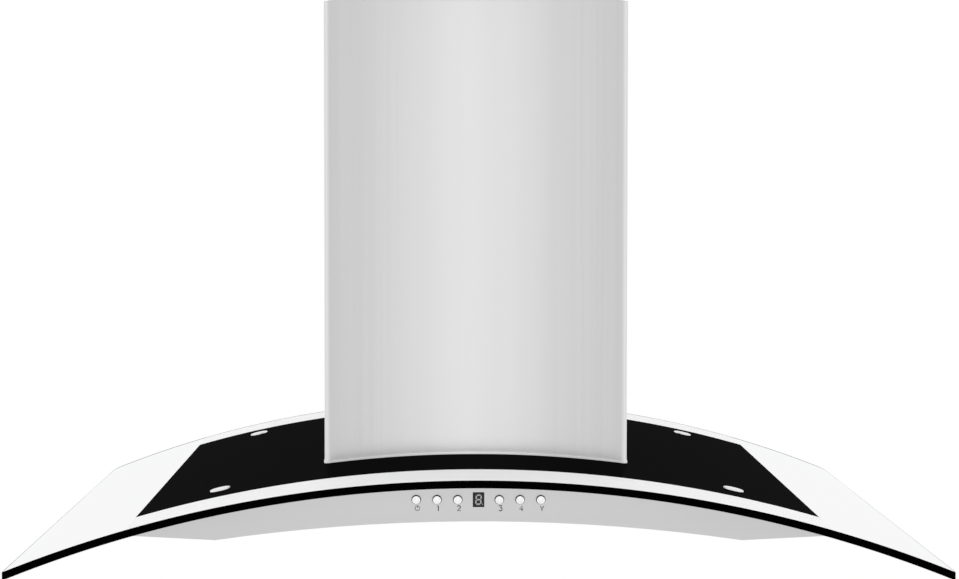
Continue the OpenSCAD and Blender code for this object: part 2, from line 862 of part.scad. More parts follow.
// Channel along Y: open at the top when up is 1, at the bottom when up is -1
module vane(up) {
    height = 5.4;
    len = filter_d - 2 * filter_sheet - 0.4;
    scale([1, 1, up]) along_y(-len / 2, len / 2) difference() {
        translate([-vane_w / 2, 0]) square([vane_w, height]);
        translate([-vane_w / 2 + vane_t, vane_t]) square([vane_w - 2 * vane_t, height]);
    }
}

// Sliding catch: its bolt lies over the pan's centre bar, and its grip is under the frame
module filter_latch(side) color("dimgray") {
    edge = filter_w + filter_gap;
    in_bay(side) {
        translate([edge - 7, -8, 2.2]) cube([13, 16, 3.6]);
        translate([edge - 7, -5, -1.2]) cube([4, 10, 3.6]);
        translate([edge - 12, -9, -2.6]) difference() {
            cube([11.5, 18, 1.8]);
            for (x = [2.2, 5, 7.8]) translate([x, -1, -0.1]) cube([1.2, 20, 0.7]);
        }
    }
}

// ---- Lamps ----

// Lamp can with a trim ring under the pan and a recess for its lens
module lamp(sx, sy) color("gainsboro") {
    on_keel(sx * lamp_x, sy * lamp_y) difference() {
        union() {
            translate([0, 0, -2]) cylinder(r1 = 32.5, r2 = 34, h = 1.5);
            translate([0, 0, -1]) cylinder(r = 28.8, h = 15);
        }
        translate([0, 0, -3]) cylinder(r = 25.2, h = 3.5);
        translate([0, 0, -1]) cylinder(r = 22, h = 12);
    }
}

module lamp_lenses() color("white", 0.8) {
    for (sx = [-1, 1], sy = [-1, 1])
        on_keel(sx * lamp_x, sy * lamp_y) translate([0, 0, -1.4]) cylinder(r = 25, h = 1.9);
}

// ---- Nodes ----

module hood() {
    translate([0, 0, crown_z]) children();
}

ceiling_plate();
upper_chimney_cover();
upper_cover_screws();
upper_rails();
hood() lower_rails();
hood() rail_screws();
hood() frame_ring();
hood() frame_bolts();
hood() lower_chimney_cover();
hood() cover_glide_pads();
hood() cover_brackets();
hood() glass_canopy();
hood() glass_mask();
hood() glass_gasket();
hood() glass_bolt_caps();
hood() glass_bolts();
hood() glass_bushes();
hood() glass_nuts();
hood() top_plate();
hood() bottom_pan();
hood() front_panel();
hood() rear_panel();
hood() blower_box();
hood() motor();
hood() motor_bracket();
hood() impeller();
hood() motor_shaft();
hood() duct_adaptor();
hood() duct_collar();
hood() damper_rod();
hood() junction_box();
hood() cable_gland();
hood() run_capacitor();
hood() lamp_driver();
hood() control_board();
hood() control_carrier();
hood() button_switches();
hood() display_module();
hood() display_window();
hood() lamp_lenses();
for (b = BUTTONS)
    hood() control_button(b[1]);
for (c = CORNERS)
    hood() lamp(c[1], c[2]);
for (f = FLAPS)
    hood() damper_flap(f[1]);
for (s = SIDES) {
    hood() scroll_half(s[1]);
    hood() filter_frame(s[1]);
    hood() filter_baffles(s[1]);
    hood() filter_latch(s[1]);
}
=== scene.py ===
import json
import math

import bmesh
import bpy
from mathutils import Matrix, Vector


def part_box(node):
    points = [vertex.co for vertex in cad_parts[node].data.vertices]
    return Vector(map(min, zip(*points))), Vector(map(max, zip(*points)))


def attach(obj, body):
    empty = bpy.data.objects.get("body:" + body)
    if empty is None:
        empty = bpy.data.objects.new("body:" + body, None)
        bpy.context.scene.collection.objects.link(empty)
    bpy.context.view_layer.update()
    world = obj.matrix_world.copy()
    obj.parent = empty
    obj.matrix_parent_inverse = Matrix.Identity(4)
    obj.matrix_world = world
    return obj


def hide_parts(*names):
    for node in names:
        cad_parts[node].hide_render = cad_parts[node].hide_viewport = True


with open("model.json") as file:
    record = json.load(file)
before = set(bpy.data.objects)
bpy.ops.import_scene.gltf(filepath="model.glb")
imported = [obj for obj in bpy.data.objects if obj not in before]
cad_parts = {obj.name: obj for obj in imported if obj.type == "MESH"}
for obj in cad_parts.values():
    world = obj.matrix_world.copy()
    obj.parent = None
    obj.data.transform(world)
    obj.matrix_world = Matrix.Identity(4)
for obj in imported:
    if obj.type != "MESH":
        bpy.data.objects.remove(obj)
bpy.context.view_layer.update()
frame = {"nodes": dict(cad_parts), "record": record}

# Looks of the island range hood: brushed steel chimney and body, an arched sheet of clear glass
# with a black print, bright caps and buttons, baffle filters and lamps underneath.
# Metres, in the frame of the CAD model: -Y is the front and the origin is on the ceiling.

MM = 0.001
SIDES = (-1, 1)

# Measures taken from the frame's boxes
glass_lo, glass_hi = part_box("glass_canopy")
cover_lo, cover_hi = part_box("lower_chimney_cover")
mask_lo, mask_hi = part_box("glass_mask")
panel_lo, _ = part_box("front_panel")
box_lo, box_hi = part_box("blower_box")
CROWN = glass_hi.z
GLASS_W = glass_hi.x - glass_lo.x
GLASS_D = glass_hi.y - glass_lo.y
MASK_W = mask_hi.x - mask_lo.x
MASK_D = mask_hi.y - mask_lo.y
PANEL_Y = panel_lo.y

# Measures that the boxes don't give
GLASS_R = 1.204
GLASS_T = 8 * MM
GLASS_REAR_R = 14 * MM
GLASS_FRONT_R = 5 * MM
END_LINE = 1.5 * MM
OPENING_GAP = 6 * MM
OPENING_R = 12 * MM
BOLT_X = 256 * MM
BOLT_Y = 210 * MM
CAP_R = 10.2 * MM
COVER_T = 1 * MM
COVER_R = 7 * MM
HEM_T = 0.6 * MM
HEM_H = 3 * MM
BUTTON_PITCH = 19.7 * MM
BUTTON_Z = CROWN - 21 * MM
MARK_Z = CROWN - 29.1 * MM
MARK_SHIFT = 1.1 * MM
PRINT_LIFT = 0.03 * MM
KEEL_R = 1.745
KEEL_DROP = 41.7 * MM
LAMP_X = 195 * MM
LAMP_Y = 238 * MM
LAMPS = {
    "lamp_front_left": (-1, -1),
    "lamp_front_right": (1, -1),
    "lamp_rear_left": (-1, 1),
    "lamp_rear_right": (1, 1),
}
BUTTONS = {
    "power_button": -3,
    "speed_1_button": -2,
    "speed_2_button": -1,
    "speed_3_button": 1,
    "speed_4_button": 2,
    "lamp_button": 3,
}


# ---- Material helpers ---------------------------------------------------------------

def new_material(name, **settings):
    """Principled material. Settings are the shader's own inputs, with _ for a space."""
    material = bpy.data.materials.new(name)
    material.use_nodes = True
    shader = material.node_tree.nodes["Principled BSDF"]
    for key, value in settings.items():
        shader.inputs[key.replace("_", " ")].default_value = value
    return material, shader


def add_node(material, kind, **settings):
    node = material.node_tree.nodes.new(kind)
    for key, value in settings.items():
        setattr(node, key, value)
    return node


def link(material, source, target):
    material.node_tree.links.new(source, target)


def noise(material, stretch, detail=3.0):
    """Noise over the object's own coordinates. stretch is cycles a metre along X, Y and Z."""
    coords = add_node(material, "ShaderNodeTexCoord")
    mapping = add_node(material, "ShaderNodeMapping")
    mapping.inputs["Scale"].default_value = stretch
    texture = add_node(material, "ShaderNodeTexNoise")
    texture.inputs["Scale"].default_value = 1.0
    texture.inputs["Detail"].default_value = detail
    link(material, coords.outputs["Object"], mapping.inputs["Vector"])
    link(material, mapping.outputs["Vector"], texture.inputs["Vector"])
    return texture.outputs["Fac"]


def cells(material, scale):
    """A random value for each cell of a Voronoi pattern."""
    coords = add_node(material, "ShaderNodeTexCoord")
    texture = add_node(material, "ShaderNodeTexVoronoi")
    texture.inputs["Scale"].default_value = scale
    link(material, coords.outputs["Object"], texture.inputs["Vector"])
    split = add_node(material, "ShaderNodeSeparateColor")
    link(material, texture.outputs["Color"], split.inputs["Color"])
    return split.outputs["Red"]


def spread(material, value, low, high):
    """Maps a texture's middle range to low..high."""
    middle_from, middle_to = 0.3, 0.7
    node = add_node(material, "ShaderNodeMapRange")
    node.inputs["From Min"].default_value = middle_from
    node.inputs["From Max"].default_value = middle_to
    node.inputs["To Min"].default_value = low
    node.inputs["To Max"].default_value = high
    link(material, value, node.inputs["Value"])
    return node.outputs["Result"]


def tint(material, value, dark, light):
    """Colour between dark and light, by a texture's value."""
    node = add_node(material, "ShaderNodeMix", data_type="RGBA")
    node.inputs["A"].default_value = (*dark, 1)
    node.inputs["B"].default_value = (*light, 1)
    link(material, spread(material, value, 0.0, 1.0), node.inputs["Factor"])
    return node.outputs["Result"]


def bump(material, shader, value, depth, strength):
    node = add_node(material, "ShaderNodeBump")
    node.inputs["Strength"].default_value = strength
    node.inputs["Distance"].default_value = depth
    link(material, value, node.inputs["Height"])
    link(material, node.outputs["Normal"], shader.inputs["Normal"])


def grey(value, warmth=0.0):
    return (value * (1 + warmth), value, value * (1 - warmth))


# ---- Materials ----------------------------------------------------------------------

def brushed_steel(name, base, grain, roughness, streak):
    """Stainless steel brushed along the axis in which grain is smallest."""
    material, shader = new_material(name, Metallic=1.0)
    coarser = 9
    fine_share = 0.45
    rough_spread = 0.07
    fine = noise(material, grain, 4.0)
    broad = noise(material, tuple(g / coarser for g in grain), 2.0)
    both = add_node(material, "ShaderNodeMath", operation="ADD")
    for k, (source, share) in enumerate(((fine, fine_share), (broad, 1 - fine_share))):
        part = add_node(material, "ShaderNodeMath", operation="MULTIPLY")
        part.inputs[1].default_value = share
        link(material, source, part.inputs[0])
        link(material, part.outputs[0], both.inputs[k])
    dark, light = grey(base * (1 - streak)), grey(base * (1 + streak))
    colour = tint(material, both.outputs[0], dark, light)
    link(material, colour, shader.inputs["Base Color"])
    low, high = roughness * (1 - rough_spread), roughness * (1 + rough_spread)
    rough = spread(material, fine, low, high)
    link(material, rough, shader.inputs["Roughness"])
    bump(material, shader, fine, 0.012 * MM, 0.05)
    return material


def galvanised_steel(name, base):
    """Zinc-coated steel with a spangle of flat patches."""
    material, shader = new_material(name, Metallic=1.0)
    spangle = cells(material, 90.0)
    colour = tint(material, spangle, grey(base * 0.86, -0.01), grey(base * 1.1, -0.01))
    link(material, colour, shader.inputs["Base Color"])
    link(material, spread(material, spangle, 0.32, 0.5), shader.inputs["Roughness"])
    bump(material, shader, noise(material, (400, 400, 400)), 0.02 * MM, 0.3)
    return material


def painted(name, dark, light, roughness, metallic=0.0, depth=0.02 * MM, grain=900, gloss=0.5):
    """Paint, plastic or rubber between two colours, with a fine grain of a given depth."""
    material, shader = new_material(name, Metallic=metallic, Specular_IOR_Level=gloss)
    fine = noise(material, (grain, grain, grain), 3.0)
    broad = noise(material, (40, 40, 40), 2.0)
    link(material, tint(material, broad, dark, light), shader.inputs["Base Color"])
    rough = spread(material, fine, roughness - 0.05, roughness + 0.05)
    link(material, rough, shader.inputs["Roughness"])
    bump(material, shader, fine, depth, 0.4)
    return material


def black_print():
    """Ceramic print on the glass: black, with a faint even gloss."""
    material, shader = new_material(
        "black_print",
        Specular_IOR_Level=0.0,
        Roughness=0.5,
        Coat_Weight=0.011,
        Coat_IOR=4.0,
        Coat_Roughness=0.02,
    )
    mottle = noise(material, (120, 120, 120), 2.0)
    link(material, tint(material, mottle, grey(0.0008), grey(0.0012)), shader.inputs["Base Color"])
    return material


def clear_glass(name, colour):
    """Clear glass that hardly bends light, with a faint clean coat."""
    material, shader = new_material(
        name,
        Transmission_Weight=1.0,
        IOR=1.001,
        Roughness=0.0,
        Coat_Weight=0.002,
        Coat_Roughness=0.01,
    )
    haze = noise(material, (6, 6, 6), 1.0)
    lighter = tuple(min(c * 1.004, 1.0) for c in colour)
    link(material, tint(material, haze, colour, lighter), shader.inputs["Base Color"])
    return material


def edge_black():
    """Black of the glass's front edge and of the walls of its opening."""
    material, shader = new_material("glass_edge_black", Specular_IOR_Level=0.0)
    grind = noise(material, (300, 300, 300), 3.0)
    link(material, tint(material, grind, grey(0.0004), grey(0.0008)), shader.inputs["Base Color"])
    link(material, spread(material, grind, 0.12, 0.2), shader.inputs["Roughness"])
    return material


def frosted_lens():
    """Milky lamp lens with a fine frost."""
    material, shader = new_material("lamp_lens", Transmission_Weight=0.3, IOR=1.4)
    frost = noise(material, (900, 900, 900), 2.0)
    link(material, tint(material, frost, grey(0.86), grey(0.9)), shader.inputs["Base Color"])
    link(material, spread(material, frost, 0.3, 0.4), shader.inputs["Roughness"])
    bump(material, shader, frost, 0.01 * MM, 0.3)
    return material


VERTICAL = (320.0, 320.0, 1.5)
HORIZONTAL = (3.0, 700.0, 700.0)
SLOT_LOOKS = {
    "cover_steel": brushed_steel("cover_steel", 0.525, VERTICAL, 0.17, 0.022),
    "body_steel": brushed_steel("body_steel", 0.52, HORIZONTAL, 0.33, 0.014),
    "bright_steel": brushed_steel("bright_steel", 0.84, (90.0, 90.0, 90.0), 0.14, 0.01),
    "clear_glass": clear_glass("clear_glass", (0.925, 0.93, 0.927)),
    "black_enamel": black_print(),
    "rubber": painted("rubber", grey(0.018), grey(0.026), 0.7, depth=0.04 * MM),
    "zinc_steel": galvanised_steel("zinc_steel", 0.56),
    "dark_screw": painted("dark_screw", grey(0.09), grey(0.13), 0.42, metallic=0.8),
    "black_plastic": painted("black_plastic", grey(0.014), grey(0.02), 0.45),
    "grey_plastic": painted("grey_plastic", grey(0.1), grey(0.13), 0.5),
    "white_plastic": painted("white_plastic", grey(0.74, 0.01), grey(0.8, 0.01), 0.45),
    "motor_metal": painted("motor_metal", grey(0.1), grey(0.14), 0.4, metallic=0.7),
    "circuit_board": painted("circuit_board", (0.01, 0.1, 0.04), (0.016, 0.14, 0.06), 0.35),
    "display": painted("display_dark", grey(0.014), grey(0.018), 0.12, depth=0.002 * MM, gloss=0.2),
    "lamp_lens": frosted_lens(),
    "filter_steel": brushed_steel("filter_steel", 0.56, (700.0, 3.0, 700.0), 0.3, 0.02),
}
TOP_STEEL = brushed_steel("top_steel", 0.9, HORIZONTAL, 0.12, 0.01)
GASKET_GREY = painted("gasket_grey", grey(0.5), grey(0.55), 0.6)
# White stand-in for the top plate's steel: a painted reflection of the white surroundings in it.
PAINTED_REFLECTION_WHITE = painted("plate_painted_reflection", grey(0.94), grey(0.96), 0.7, metallic=0.1, depth=0.002 * MM)
CAP_STEEL = brushed_steel("cap_steel", 0.66, (160.0, 160.0, 160.0), 0.3, 0.05)
BUTTON_STEEL = brushed_steel("button_steel", 0.78, (160.0, 160.0, 160.0), 0.25, 0.03)
EDGE_BLACK = edge_black()
EDGE_CLEAR = clear_glass("glass_edge_clear", (0.93, 0.95, 0.94))
ARRIS = painted("glass_arris", grey(0.03), grey(0.04), 0.3)
# Black of the button's sides, also used as painted shade on most of the dome's rounded rim.
BUTTON_BLACK_AND_SHADE = painted("button_black_and_painted_shade", grey(0.004), grey(0.006), 0.5, gloss=0.1)
MARK_INK = painted("mark_ink", grey(0.01), grey(0.015), 0.5, gloss=0.1)
DIGIT_GREY = painted("digit_grey", grey(0.36), grey(0.4), 0.4)


# ---- Mesh helpers -------------------------------------------------------------------

def finish_piece(name, bm, materials, body, replaced=(), sharp=30.0):
    """Makes an object of a bmesh: it rides on a body and stands for the replaced CAD nodes."""
    bmesh.ops.recalc_face_normals(bm, faces=bm.faces[:])
    mesh = bpy.data.meshes.new(name)
    bm.to_mesh(mesh)
    bm.free()
    for material in materials:
        mesh.materials.append(material)
    mesh.shade_smooth()
    mesh.set_sharp_from_angle(angle=math.radians(sharp))
    piece = bpy.data.objects.new(name, mesh)
    bpy.context.scene.collection.objects.link(piece)
    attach(piece, body)
    if replaced:
        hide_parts(*replaced)
    return piece


def lathe(bm, profile, place, segments):
    """Turns a profile of (radius, height) about local Z. Points of radius 0 close its ends."""
    rings = []
    for radius, height in profile:
        if radius <= 0:
            rings.append([bm.verts.new(place @ Vector((0, 0, height)))])
            continue
        ring = []
        for k in range(segments):
            angle = 2 * math.pi * k / segments
            point = Vector((radius * math.cos(angle), radius * math.sin(angle), height))
            ring.append(bm.verts.new(place @ point))
        rings.append(ring)
    for lower, upper in zip(rings, rings[1:]):
        for k in range(segments):
            after = (k + 1) % segments
            corners = [lower[k % len(lower)], lower[after % len(lower)]]
            corners += [upper[after % len(upper)], upper[k % len(upper)]]
            bm.faces.new(list(dict.fromkeys(corners)))


def arc(centre, radius, start, end, steps):
    """Points on a circle in a plane, from one angle to another in degrees."""
    points = []
    for k in range(steps + 1):
        angle = math.radians(start + (end - start) * k / steps)
        points.append((centre[0] + radius * math.cos(angle), centre[1] + radius * math.sin(angle)))
    return points


def arch(x, radius):
    """Height of an arc concentric with the glass."""
    return CROWN - GLASS_R + math.sqrt(radius * radius - x * x)


def rounded_half(x, half_w, half_d, corner):
    """Half depth of a rounded rectangle at x."""
    over = abs(x) - (half_w - corner)
    if over <= 0 or corner == 0:
        return half_d
    return half_d - corner + math.sqrt(max(corner * corner - over * over, 0.0))


# ---- Glass --------------------------------------------------------------------------

# Material slots of an arched plate: its faces, its walls, and the chamfers of the glass
FACE, FRONT, OUTER, OPENING, CHAMFER = range(5)


def plate_stations(half_w, front_r, rear_r, open_w):
    """X positions of the columns of an arched plate, closer together at rounded corners."""
    columns = 76
    spacing = 2 * MM
    corners = ((half_w, rear_r, 4), (half_w, front_r, 3), (open_w, OPENING_R, 6))
    key = {0.0, half_w - END_LINE}
    for half, radius, steps in corners:
        for k in range(steps + 1):
            key.add(half - radius + radius * math.sin(math.pi / 2 * k / steps))
    for k in range(1, columns):
        x = half_w * k / columns
        if all(abs(x - other) > spacing for other in key):
            key.add(x)
    positive = sorted(key)
    return [-x for x in reversed(positive[1:])] + positive


def arched_plate(width, depth, front_r, rear_r, r_top, r_bottom):
    """Closed arched sheet with the opening for the blower box. Its walls are marked FRONT,
    OUTER and OPENING."""
    half_w, half_d = width / 2, depth / 2
    open_w = (box_hi.x - box_lo.x) / 2 + OPENING_GAP
    open_d = (box_hi.y - box_lo.y) / 2 + OPENING_GAP
    stations = plate_stations(half_w, front_r, rear_r, open_w)
    bm = bmesh.new()
    layers = []
    for radius in (r_top, r_bottom):
        grid = []
        for x in stations:
            front = rounded_half(x, half_w, half_d, front_r)
            rear = rounded_half(x, half_w, half_d, rear_r)
            inner = rounded_half(min(abs(x), open_w), open_w, open_d, OPENING_R)
            z = arch(x, radius)
            grid.append([bm.verts.new((x, y, z)) for y in (-front, -inner, inner, rear)])
        layers.append(grid)
    close_plate(bm, layers, stations, open_w)
    bmesh.ops.recalc_face_normals(bm, faces=bm.faces[:])
    return bm


def close_plate(bm, layers, stations, open_w):
    """Faces and walls between the two layers of an arched plate, round its opening."""
    top, bottom = layers
    rows = range(3)

    def wall(a, b, mark):
        (i, j), (m, n) = a, b
        face = bm.faces.new((top[i][j], top[m][n], bottom[m][n], bottom[i][j]))
        face.material_index = mark

    last = len(stations) - 1
    for i in range(last):
        middle = (stations[i] + stations[i + 1]) / 2
        in_opening = abs(middle) < open_w
        for row in rows:
            if row == 1 and in_opening:
                continue
            for grid in layers:
                here, after = grid[i], grid[i + 1]
                bm.faces.new((here[row], after[row], after[row + 1], here[row + 1]))
        wall((i, 0), (i + 1, 0), FRONT)
        wall((i, 3), (i + 1, 3), OUTER)
        if in_opening:
            wall((i, 1), (i + 1, 1), OPENING)
            wall((i, 2), (i + 1, 2), OPENING)
    for row in rows:
        wall((0, row), (0, row + 1), OUTER)
        wall((last, row), (last, row + 1), OUTER)
    for i, x in enumerate(stations):
        if abs(abs(x) - open_w) < 1e-9:
            wall((i, 1), (i, 2), OPENING)


def mark_glass_edges(bm):
    """Black on the front edge and its upper chamfer, a thin dark line along the ends and the
    other upper chamfers, and clear glass on the lower chamfers."""
    front_band = 1.5 * MM
    for face in bm.faces:
        centre = face.calc_center_median()
        in_front = centre.y < -GLASS_D / 2 + front_band
        at_end = abs(centre.x) > GLASS_W / 2 - END_LINE
        lower = centre.z < arch(centre.x, GLASS_R - GLASS_T / 2)
        if face.material_index == OUTER and in_front:
            face.material_index = FRONT
        elif face.material_index == FACE and at_end and not lower:
            face.material_index = CHAMFER
        elif face.material_index == CHAMFER and in_front:
            face.material_index = OUTER if lower else FRONT
        elif face.material_index == CHAMFER and lower:
            face.material_index = OUTER


def build_glass():
    """Arched sheet with chamfered outer edges. Its lower face is a little above the CAD one."""
    chamfer = 0.6 * MM
    lift = 0.1 * MM
    inner_r = GLASS_R - GLASS_T + lift
    bm = arched_plate(GLASS_W, GLASS_D, GLASS_FRONT_R, GLASS_REAR_R, GLASS_R, inner_r)
    arrises = []
    for edge in bm.edges:
        marks = {face.material_index for face in edge.link_faces}
        if FACE in marks and marks & {FRONT, OUTER}:
            arrises.append(edge)
    bmesh.ops.bevel(
        bm, geom=arrises, offset=chamfer, offset_type="OFFSET", segments=2,
        profile=0.5, affect="EDGES", clamp_overlap=False, material=CHAMFER,
    )
    mark_glass_edges(bm)
    looks = [SLOT_LOOKS["clear_glass"], EDGE_BLACK, EDGE_CLEAR, EDGE_BLACK, ARRIS]
    sheet = finish_piece("glass_sheet", bm, looks, "hood", ["glass_canopy"], sharp=20.0)
    sheet.visible_glossy = False


def build_print():
    """Black print, and a white sheet under it and under the clear margins. The white sheet is a
    painted
    reflection: it stands for the top plate's steel mirroring the white surroundings. The clear
    sheet here doesn't bend light, so both lie at its top face, where the eye sees them. Both are
    hidden from mirror rays, so the chimney doesn't mirror them."""
    rise = 0.06 * MM
    bm = arched_plate(MASK_W, MASK_D, 0.0, 0.0, GLASS_R + rise, GLASS_R + rise / 3)
    looks = [SLOT_LOOKS["black_enamel"]] * 4
    printed = finish_piece("glass_print", bm, looks, "hood", ["glass_mask"], sharp=20.0)
    printed.visible_glossy = False
    printed.visible_transmission = False
    printed.visible_shadow = False
    depth = 0.3 * MM
    edge_gap = 1 * MM
    reach = GLASS_D - 2 * edge_gap
    bm = arched_plate(MASK_W, reach, 0.0, 0.0, GLASS_R - depth, GLASS_R - 2 * depth)
    # The white sheet is a painted reflection: the top plate's steel mirroring the white
    # surroundings.
    plate = finish_piece("plate_painted_reflection", bm, [PAINTED_REFLECTION_WHITE] * 4, "hood", sharp=20.0)
    plate.visible_glossy = False


def on_glass(x, y):
    """Local frame on the glass's top face, square to it."""
    tilt = Matrix.Rotation(math.asin(x / GLASS_R), 4, "Y")
    centre = Matrix.Translation((0, y, CROWN - GLASS_R))
    return centre @ tilt @ Matrix.Translation((0, 0, GLASS_R))


def build_caps():
    """Low domed caps on the glass, each on a thin black washer."""
    lip = 0.3 * MM
    shoulder = 0.8 * MM
    crown = 2 * MM
    profile = [(0, lip), (CAP_R - lip, lip)]
    profile += arc((CAP_R - lip, 2 * lip), lip, -90, 0, 3)[1:]
    profile += arc((CAP_R - shoulder, 3 * lip), shoulder, 0, 80, 5)
    profile += [(8 * MM, crown - 0.15 * MM), (4 * MM, crown - 0.05 * MM), (0, crown)]
    washer_r = CAP_R + 0.05 * MM
    washer_z = 0.1 * MM
    washer = [(0, washer_z), (washer_r, washer_z), (washer_r, lip), (0, lip)]
    caps, washers = bmesh.new(), bmesh.new()
    for sx in SIDES:
        for sy in SIDES:
            place = on_glass(sx * BOLT_X, sy * BOLT_Y)
            lathe(caps, profile, place, segments=64)
            lathe(washers, washer, place, segments=48)
    finish_piece("glass_caps", caps, [CAP_STEEL], "hood", ["glass_bolt_caps"], sharp=40.0)
    finish_piece("cap_washers", washers, [SLOT_LOOKS["rubber"]], "hood")


# ---- Chimney ------------------------------------------------------------------------

def cover_outline(half_w, half_d, corner, gap):
    """Stations round a cover, each a point and its outward normal, from one side of the rear
    seam to the other."""
    rear_steps, side_steps, front_steps, corner_steps = 12, 2, 32, 10
    stations = []

    def straight(start, end, normal, steps):
        for k in range(steps):
            stations.append((start.lerp(end, k / steps), normal))

    def turn(centre, first):
        for k in range(corner_steps):
            angle = math.radians(first - 90 * k / corner_steps)
            normal = Vector((math.cos(angle), math.sin(angle)))
            stations.append((centre + normal * corner, normal))

    a, b = half_w - corner, half_d - corner
    straight(Vector((gap, half_d)), Vector((a, half_d)), Vector((0, 1)), rear_steps)
    turn(Vector((a, b)), 90)
    straight(Vector((half_w, b)), Vector((half_w, -b)), Vector((1, 0)), side_steps)
    turn(Vector((a, -b)), 0)
    straight(Vector((a, -half_d)), Vector((-a, -half_d)), Vector((0, -1)), front_steps)
    turn(Vector((-a, -b)), -90)
    straight(Vector((-half_w, -b)), Vector((-half_w, b)), Vector((-1, 0)), side_steps)
    turn(Vector((-a, b)), 180)
    straight(Vector((-a, half_d)), Vector((-gap, half_d)), Vector((0, 1)), rear_steps)
    stations.append((Vector((-gap, half_d)), Vector((0, 1))))
    return stations


def build_lower_cover():
    """Folded sheet with a seam at the rear. Its foot follows the glass and has a hem."""
    seam = 0.25 * MM
    foot_gap = 0.2 * MM
    lip = 0.3 * MM
    half_w = (cover_hi.x - cover_lo.x) / 2 - HEM_T
    half_d = (cover_hi.y - cover_lo.y) / 2 - HEM_T
    top = cover_hi.z
    foot = [(-COVER_T, foot_gap)]
    foot += [(HEM_T - lip + x, foot_gap + lip + z) for x, z in arc((0, 0), lip, -90, 0, 3)]
    foot += [(HEM_T - lip + x, HEM_H - lip + z) for x, z in arc((0, 0), lip, 0, 90, 3)]
    foot += [(0, HEM_H)]
    head = [(x - lip, z - lip) for x, z in arc((0, 0), lip, 0, 90, 3)]
    head += [(-COVER_T, 0)]
    bm = bmesh.new()
    loops = []
    for point, normal in cover_outline(half_w, half_d, COVER_R, seam):
        loop = []
        for offset, rise in foot:
            place = point + normal * offset
            loop.append(bm.verts.new((place.x, place.y, arch(place.x, GLASS_R) + rise)))
        for offset, rise in head:
            place = point + normal * offset
            loop.append(bm.verts.new((place.x, place.y, top + rise)))
        loops.append(loop)
    count = len(loops[0])
    for here, after in zip(loops, loops[1:]):
        for k in range(count):
            m = (k + 1) % count
            bm.faces.new((here[k], here[m], after[m], after[k]))
    bm.faces.new(loops[0])
    bm.faces.new(loops[-1])
    looks = [SLOT_LOOKS["cover_steel"]]
    stands_for = ["lower_chimney_cover"]
    finish_piece("lower_cover_sheet", bm, looks, "hood", stands_for, sharp=30.0)


# ---- Controls -----------------------------------------------------------------------

def button_profile():
    """Stem, collar and domed cap, with the panel's face at height 0. Also gives the height
    above which the dome is bright. Below it the sides are black, and so is most of the dome's
    rounded rim, where the black is painted shade of the gap round the cap."""
    dome_r = 12 * MM
    proud = 3.6 * MM
    edge_r = 0.4 * MM
    cap_r = 4 * MM
    stem_r, stem_end, stem_bevel = 2 * MM, -7.4 * MM, 0.2 * MM
    collar_r, collar_low, collar_high = 5 * MM, -2.1 * MM, -1.1 * MM
    # Share of the dome's rounded rim painted black: painted shade of the gap round the cap.
    painted_shade_share = 0.85
    shoulder = math.degrees(math.asin((cap_r - edge_r) / dome_r))
    rim_z = proud - dome_r + dome_r * math.cos(math.radians(shoulder)) - edge_r
    profile = [(0, stem_end), (stem_r - stem_bevel, stem_end), (stem_r, stem_end + stem_bevel)]
    profile += [(stem_r, collar_low), (collar_r, collar_low), (collar_r, collar_high)]
    profile += [(cap_r, collar_high)]
    profile += arc((cap_r - edge_r, rim_z), edge_r, 0, 90 - shoulder, 5)
    profile += arc((0, proud - dome_r), dome_r, 90 - shoulder, 90, 6)[1:-1]
    profile += [(0, proud)]
    return profile, rim_z + painted_shade_share * edge_r


def build_button(name, step):
    """Push button with a bright dome and black sides. Most of the dome's rounded rim is black too:
    painted shade of the gap round it.
    """
    profile, bright_z = button_profile()
    centre = Matrix.Translation((step * BUTTON_PITCH, PANEL_Y, BUTTON_Z))
    bm = bmesh.new()
    lathe(bm, profile, centre @ Matrix.Rotation(math.pi / 2, 4, "X"), segments=48)
    for face in bm.faces:
        # Faces below bright_z are black: the sides, and painted shade on most of the rounded rim.
        if PANEL_Y - face.calc_center_median().y < bright_z:
            face.material_index = 1
    looks = [BUTTON_STEEL, BUTTON_BLACK_AND_SHADE]
    finish_piece(name + "_cap", bm, looks, name + "_body", [name], sharp=40.0)


def ribbon(bm, points, width, y):
    """Flat printed line of a given width along points in X-Z."""
    last = len(points) - 1
    sides = []
    for k, (x, z) in enumerate(points):
        before = points[max(k - 1, 0)]
        after = points[min(k + 1, last)]
        direction = Vector((after[0] - before[0], after[1] - before[1])).normalized()
        across = Vector((-direction.y, direction.x)) * width / 2
        sides.append([bm.verts.new((x + s * across.x, y, z + s * across.y)) for s in SIDES])
    for here, after in zip(sides, sides[1:]):
        bm.faces.new((here[0], after[0], after[1], here[1]))


def mark_paths(name):
    """Strokes of a mark, in a cell one unit high and centred on the origin."""
    if name == "power_button":
        return [arc((0, 0), 0.42, 0, 345, 23), [(0, 0.02), (0, 0.46)]]
    if name == "speed_1_button":
        return [[(-0.16, 0.3), (0.03, 0.48), (0.03, -0.5)]]
    if name == "speed_2_button":
        return [arc((0, 0.2), 0.27, 165, -35, 10) + [(-0.3, -0.46), (0.32, -0.46)]]
    if name == "speed_3_button":
        upper = [(-0.34, 0.46), (0.3, 0.46), (0.0, 0.1)]
        return [upper + arc((0.0, -0.2), 0.3, 90, -150, 11)]
    if name == "speed_4_button":
        return [[(0.14, -0.5), (0.14, 0.48), (-0.3, -0.2), (0.34, -0.2)]]
    shade = [(-0.32, 0.36), (0, -0.08), (0.32, 0.36)]
    return [shade, [(0, -0.08), (0, -0.46)]]


